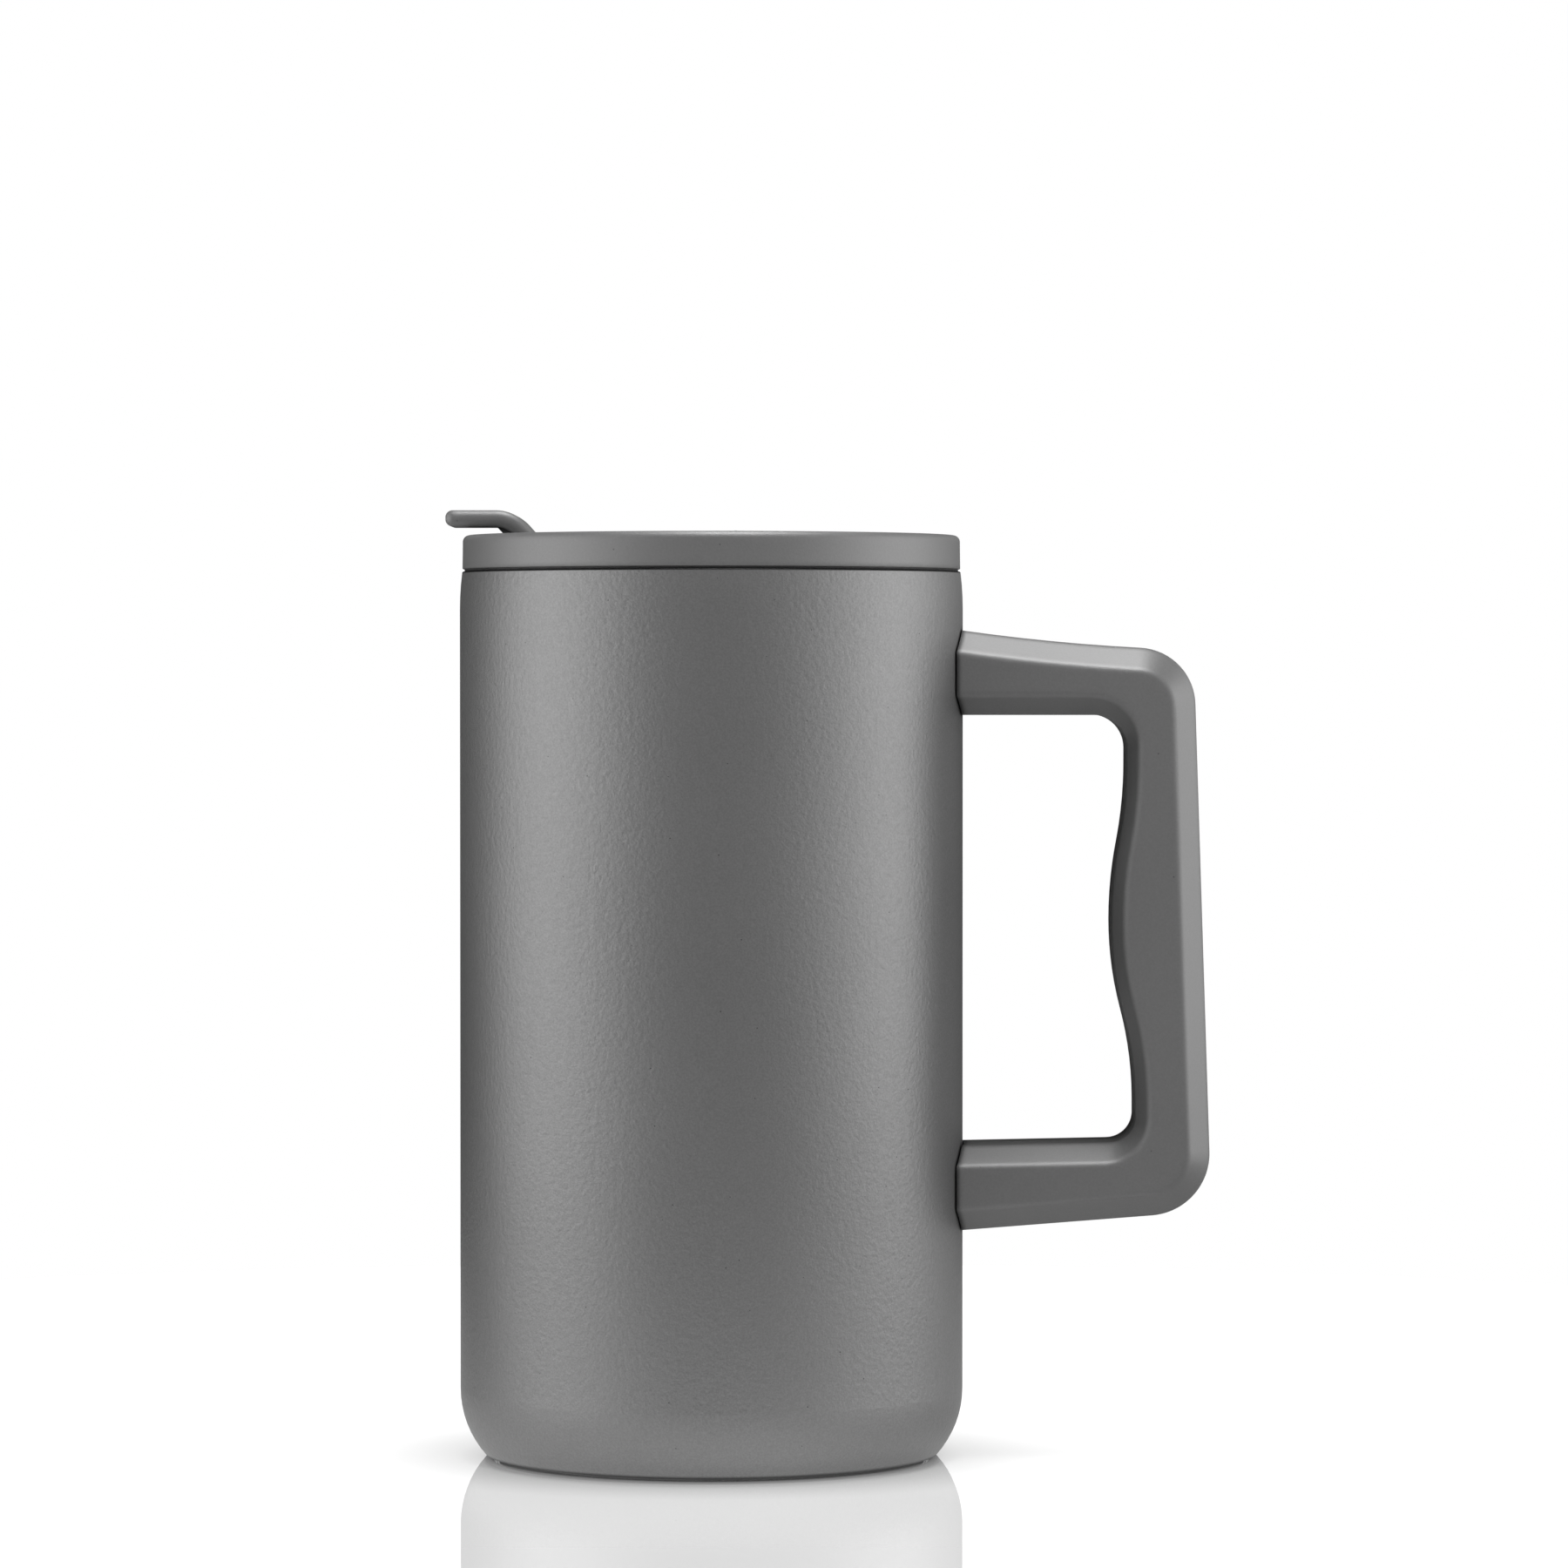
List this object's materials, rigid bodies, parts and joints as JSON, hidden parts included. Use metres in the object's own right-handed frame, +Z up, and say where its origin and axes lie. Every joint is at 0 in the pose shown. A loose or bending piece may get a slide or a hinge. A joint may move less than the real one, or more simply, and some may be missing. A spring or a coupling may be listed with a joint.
{
  "type": "insulated growler mug",
  "caption": "Tall double-wall steel growler mug with a bolt-on D handle and a press-in lid with a flip tab over the spout.",
  "frame": {"origin": "centre of the base, on the surface that the mug stands on", "axes": "+Z up along the mug's axis, +X towards the handle, so the flip tab is at -X"},
  "size_m": [0.1845, 0.122, 0.2292],
  "materials": {
    "body_coating": "fine orange-peel powder coat, satin",
    "liner_steel": "fine circumferential brushing",
    "base_steel": "spun, bare",
    "bracket_steel": "bare sheet",
    "fastener_steel": "bright stainless",
    "getter_alloy": "sintered",
    "seal_glass": "fused glass bead",
    "handle_plastic": "fine matte moulding",
    "lid_plastic": "fine matte moulding",
    "cap_plastic": "fine matte moulding",
    "plug_plastic": "satin moulding",
    "seal_silicone": "soft silicone",
    "base_silicone": "soft silicone"
  },
  "bodies": {
    "mug": {"outer_shell": "body_coating", "inner_vessel": "liner_steel", "inner_vessel_bottom": "liner_steel", "outer_base_pan": "liner_steel", "vacuum_seal_bead": "seal_glass", "getter_bracket": "liner_steel", "getter_pellet": "getter_alloy", "base_cap": "base_steel", "base_pad": "base_silicone", "upper_handle_bracket": "bracket_steel", "lower_handle_bracket": "bracket_steel", "handle_front_shell": "handle_plastic", "handle_rear_shell": "handle_plastic", "handle_screws": "fastener_steel", "screw_plugs": "handle_plastic"},
    "lid": {"lid_cover": "lid_plastic", "lid_plug": "plug_plastic", "lid_gasket": "seal_silicone", "hinge_pin": "fastener_steel"},
    "flip_cap": {"flip_cap": "cap_plastic", "spout_stopper": "seal_silicone", "vent_stopper": "seal_silicone"}
  },
  "joints": [
    {"name": "lid_lift", "type": "slide", "parent": "mug", "child": "lid", "axis": [0, 0, 1], "range_m": [0, 0.08]},
    {"name": "cap_hinge", "type": "hinge", "parent": "lid", "child": "flip_cap", "pos_m": [0.006, 0, 0.2219], "axis": [0, 1, 0], "range_deg": [0, 165]}
  ]
}
